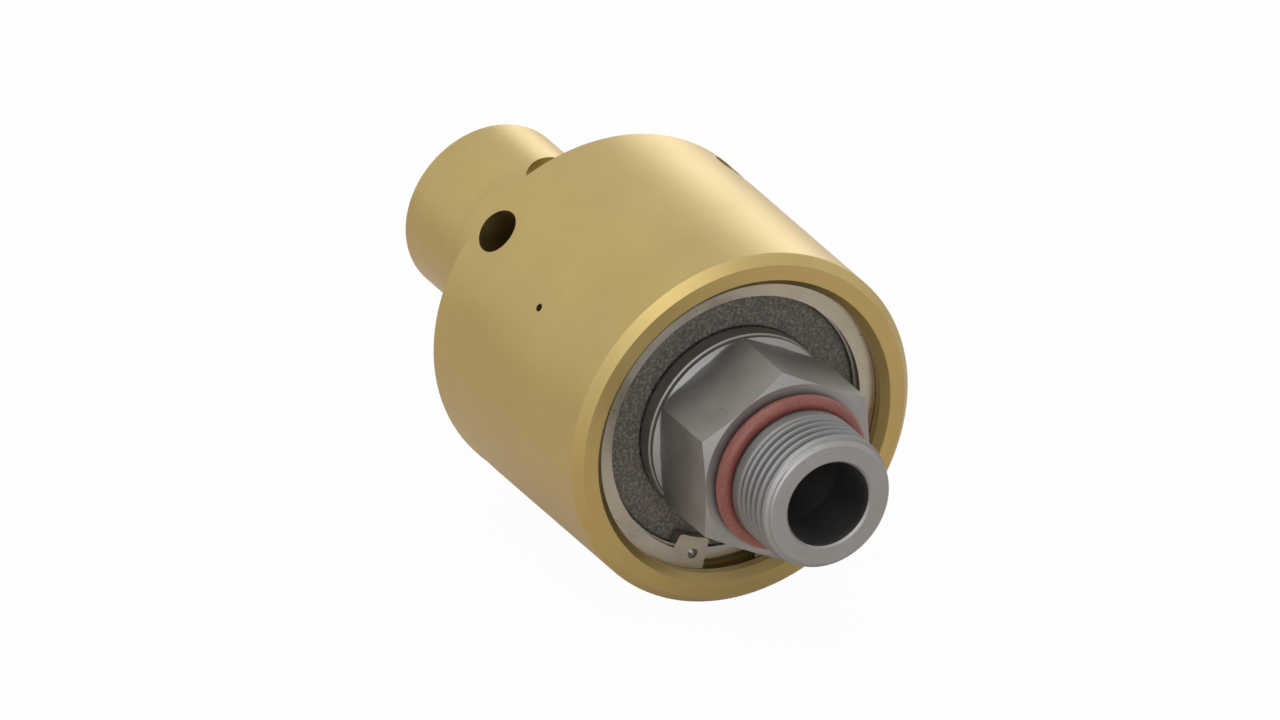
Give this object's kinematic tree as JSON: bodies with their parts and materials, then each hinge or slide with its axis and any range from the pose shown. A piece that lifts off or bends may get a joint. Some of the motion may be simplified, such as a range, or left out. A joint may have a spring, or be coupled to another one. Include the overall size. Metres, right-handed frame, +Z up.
{
  "type": "hydraulic rotary union",
  "caption": "Straight-through rotary union: brass housing with a female pipe port, and a hexagonal rotor with a male pipe thread that turns in ball bearings behind a face seal.",
  "frame": {"origin": "centre of the inlet port's mouth, on the end face of the neck", "axes": "+X along the rotor's axis, from the inlet port to the male thread; +Z up"},
  "size_m": [0.1304, 0.069, 0.069],
  "materials": {
    "brass": "satin turned brass",
    "stainless": "turned stainless steel",
    "spring_steel": "bright spring steel",
    "bearing_steel": "ground bearing steel",
    "spacer_steel": "turned steel",
    "cage_polymer": "moulded polyamide",
    "seal_rubber": "dark nitrile rubber",
    "red_rubber": "red rubber",
    "carbon": "lapped carbon graphite",
    "hard_face": "lapped hard metal",
    "backup_polymer": "white polymer"
  },
  "bodies": {
    "housing_body": {"housing": "brass", "retaining_ring": "spring_steel", "front_bearing_outer_ring": "bearing_steel", "rear_bearing_outer_ring": "bearing_steel", "front_bearing_seal": "seal_rubber", "rear_bearing_seal": "seal_rubber", "outer_bearing_spacer": "spacer_steel", "spring_seat": "stainless", "seal_spring": "spring_steel", "anti_rotation_pins": "stainless"},
    "rotor_body": {"rotor": "stainless", "front_bearing_inner_ring": "bearing_steel", "rear_bearing_inner_ring": "bearing_steel", "inner_bearing_spacer": "spacer_steel", "front_spacer_ring": "spacer_steel", "rotor_snap_ring": "spring_steel", "rotating_seal_ring": "hard_face", "seal_ring_o_ring": "seal_rubber", "thread_seal_ring": "red_rubber"},
    "front_ball_set": {"front_bearing_balls": "bearing_steel", "front_bearing_cage": "cage_polymer"},
    "rear_ball_set": {"rear_bearing_balls": "bearing_steel", "rear_bearing_cage": "cage_polymer"},
    "floating_seal": {"seal_carrier": "stainless", "carbon_ring": "carbon", "carrier_o_ring": "seal_rubber", "carrier_backup_ring": "backup_polymer"}
  },
  "joints": [
    {"name": "rotor_spin", "type": "hinge", "parent": "housing_body", "child": "rotor_body", "pos_m": [0.0742, 0, 0], "axis": [1, 0, 0], "continuous": true},
    {"name": "front_cage_spin", "type": "hinge", "parent": "housing_body", "child": "front_ball_set", "pos_m": [0.0851, 0, 0], "axis": [1, 0, 0], "continuous": true},
    {"name": "rear_cage_spin", "type": "hinge", "parent": "housing_body", "child": "rear_ball_set", "pos_m": [0.0632, 0, 0], "axis": [1, 0, 0], "continuous": true},
    {"name": "seal_float", "type": "slide", "parent": "housing_body", "child": "floating_seal", "axis": [1, 0, 0], "range_m": [-0.0015, 0], "stiffness_N_per_m": 4000, "springref_m": 0.004, "deforming": ["seal_spring"]}
  ],
  "couplings": [
    {"joint": "front_cage_spin", "follows": "rotor_spin", "ratio": 0.38461},
    {"joint": "rear_cage_spin", "follows": "rotor_spin", "ratio": 0.38461}
  ]
}
